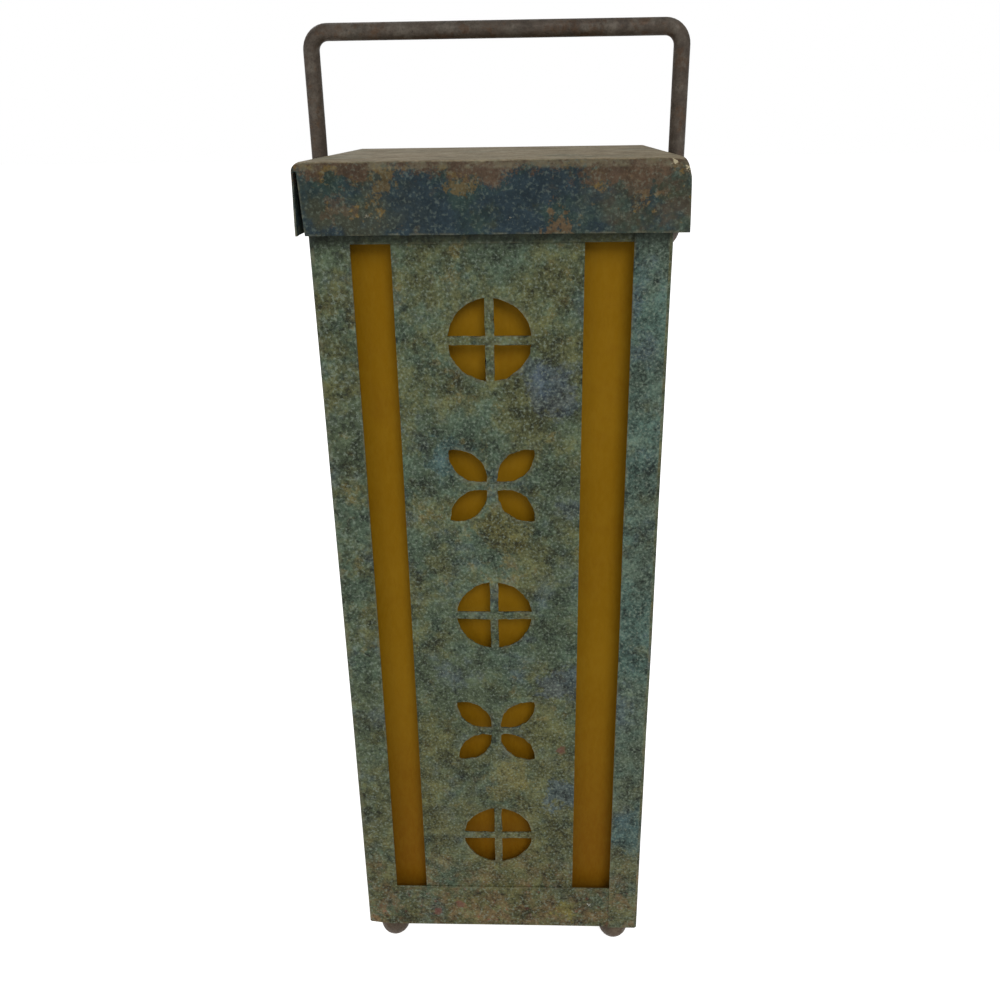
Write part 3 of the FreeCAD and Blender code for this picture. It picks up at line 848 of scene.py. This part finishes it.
def foot_outline():
    """A ball on a small flat, with a neck below the floor and a spigot through it."""
    radius, flat, neck, spigot, base = 6.5, 2.2, 3.8, 2.5, wall_low.z
    centre = math.sqrt(radius * radius - flat * flat)
    start, stop = math.acos(centre / radius), math.pi - math.asin(neck / radius)
    outline = [(0, 0)]
    bands = 14
    for band in range(bands + 1):
        angle = start + (stop - start) * band / bands
        outline.append((radius * math.sin(angle), centre - radius * math.cos(angle)))
    return outline + [(neck, base), (spigot, base), (spigot, foot_high.z), (0, foot_high.z)]


for name in FEET:
    low, high = box("foot_" + name)
    middle = (low + high) / 2
    foot = turned("foot_ball_" + name, foot_outline(), middle.x, middle.y, foot_steel)
    belongs(foot, "lantern", "foot_steel", "foot_" + name)


# Studio and camera

def studio():
    """White paper that keeps the shadow, white all round, and three soft lamps."""
    paper, tree, shader, _ = material("white_paper")
    rays = node(tree, "ShaderNodeLightPath").outputs
    bounced = reckon(tree, "MAXIMUM", rays["Is Glossy Ray"], rays["Is Transmission Ray"])
    seen = reckon(tree, "MAXIMUM", rays["Is Camera Ray"], bounced)
    paint = coated(tree, linear("#b4b4b4"), [(linear("#f4f4f4"), seen)])
    tree.links.new(paint, shader.inputs["Base Color"])
    shader.inputs["Roughness"].default_value = 0.9
    shader.inputs["Emission Color"].default_value = (1, 1, 1, 1)
    tree.links.new(reckon(tree, "MULTIPLY", seen, PAPER_GLOW), shader.inputs["Emission Strength"])
    mesh = bpy.data.meshes.new("paper_floor")
    mesh.from_pydata([(x * PAPER_REACH, y * PAPER_REACH, 0) for x, y in SQUARE], [], [(0, 1, 2, 3)])
    to_object("paper_floor", mesh, paper)

    world = bpy.data.worlds.new("white_room")
    world.use_nodes = True
    bpy.context.scene.world = world
    tree = world.node_tree
    rays = node(tree, "ShaderNodeLightPath").outputs
    seen = reckon(tree, "MAXIMUM", rays["Is Camera Ray"], rays["Is Transmission Ray"])
    background = tree.nodes["Background"].inputs
    background["Color"].default_value = (1, 1, 1, 1)
    tree.links.new(ramp(tree, seen, 0.0, 1.0, ROOM_LIGHT, 1.0), background["Strength"])

    for name, spot, size, power in LAMPS:
        lamp = bpy.data.lights.new(name, "AREA")
        lamp.shape = "DISK"
        lamp.size = size
        lamp.energy = power
        holder = bpy.data.objects.new(name, lamp)
        holder.location = spot
        aim = Vector(LAMP_AIM) - Vector(spot)
        holder.rotation_euler = aim.to_track_quat("-Z", "Y").to_euler()
        bpy.context.scene.collection.objects.link(holder)


def camera():
    """The photograph's view: from the front, a little right of the middle, level with the bail."""
    pitch, roll, yaw = (math.radians(angle) for angle in (CAMERA_PITCH, CAMERA_ROLL, CAMERA_YAW))
    flat = math.cos(pitch)
    ahead = Vector((math.sin(yaw) * flat, math.cos(yaw) * flat, -math.sin(pitch)))
    level = Vector((math.cos(yaw), -math.sin(yaw), 0))
    up = level.cross(ahead)
    right = level * math.cos(roll) + up * math.sin(roll)
    up = up * math.cos(roll) - level * math.sin(roll)
    lens = bpy.data.cameras.new("camera")
    lens.lens = CAMERA_LENS
    lens.sensor_width = CAMERA_SENSOR
    lens.clip_start = 0.01
    holder = bpy.data.objects.new("camera", lens)
    turn = Matrix((right, up, -ahead)).transposed().to_4x4()
    holder.matrix_world = Matrix.Translation(Vector(CAMERA_PLACE) * MM) @ turn
    bpy.context.scene.collection.objects.link(holder)
    bpy.context.scene.camera = holder


studio()
camera()
bpy.context.scene.view_settings.view_transform = "Standard"
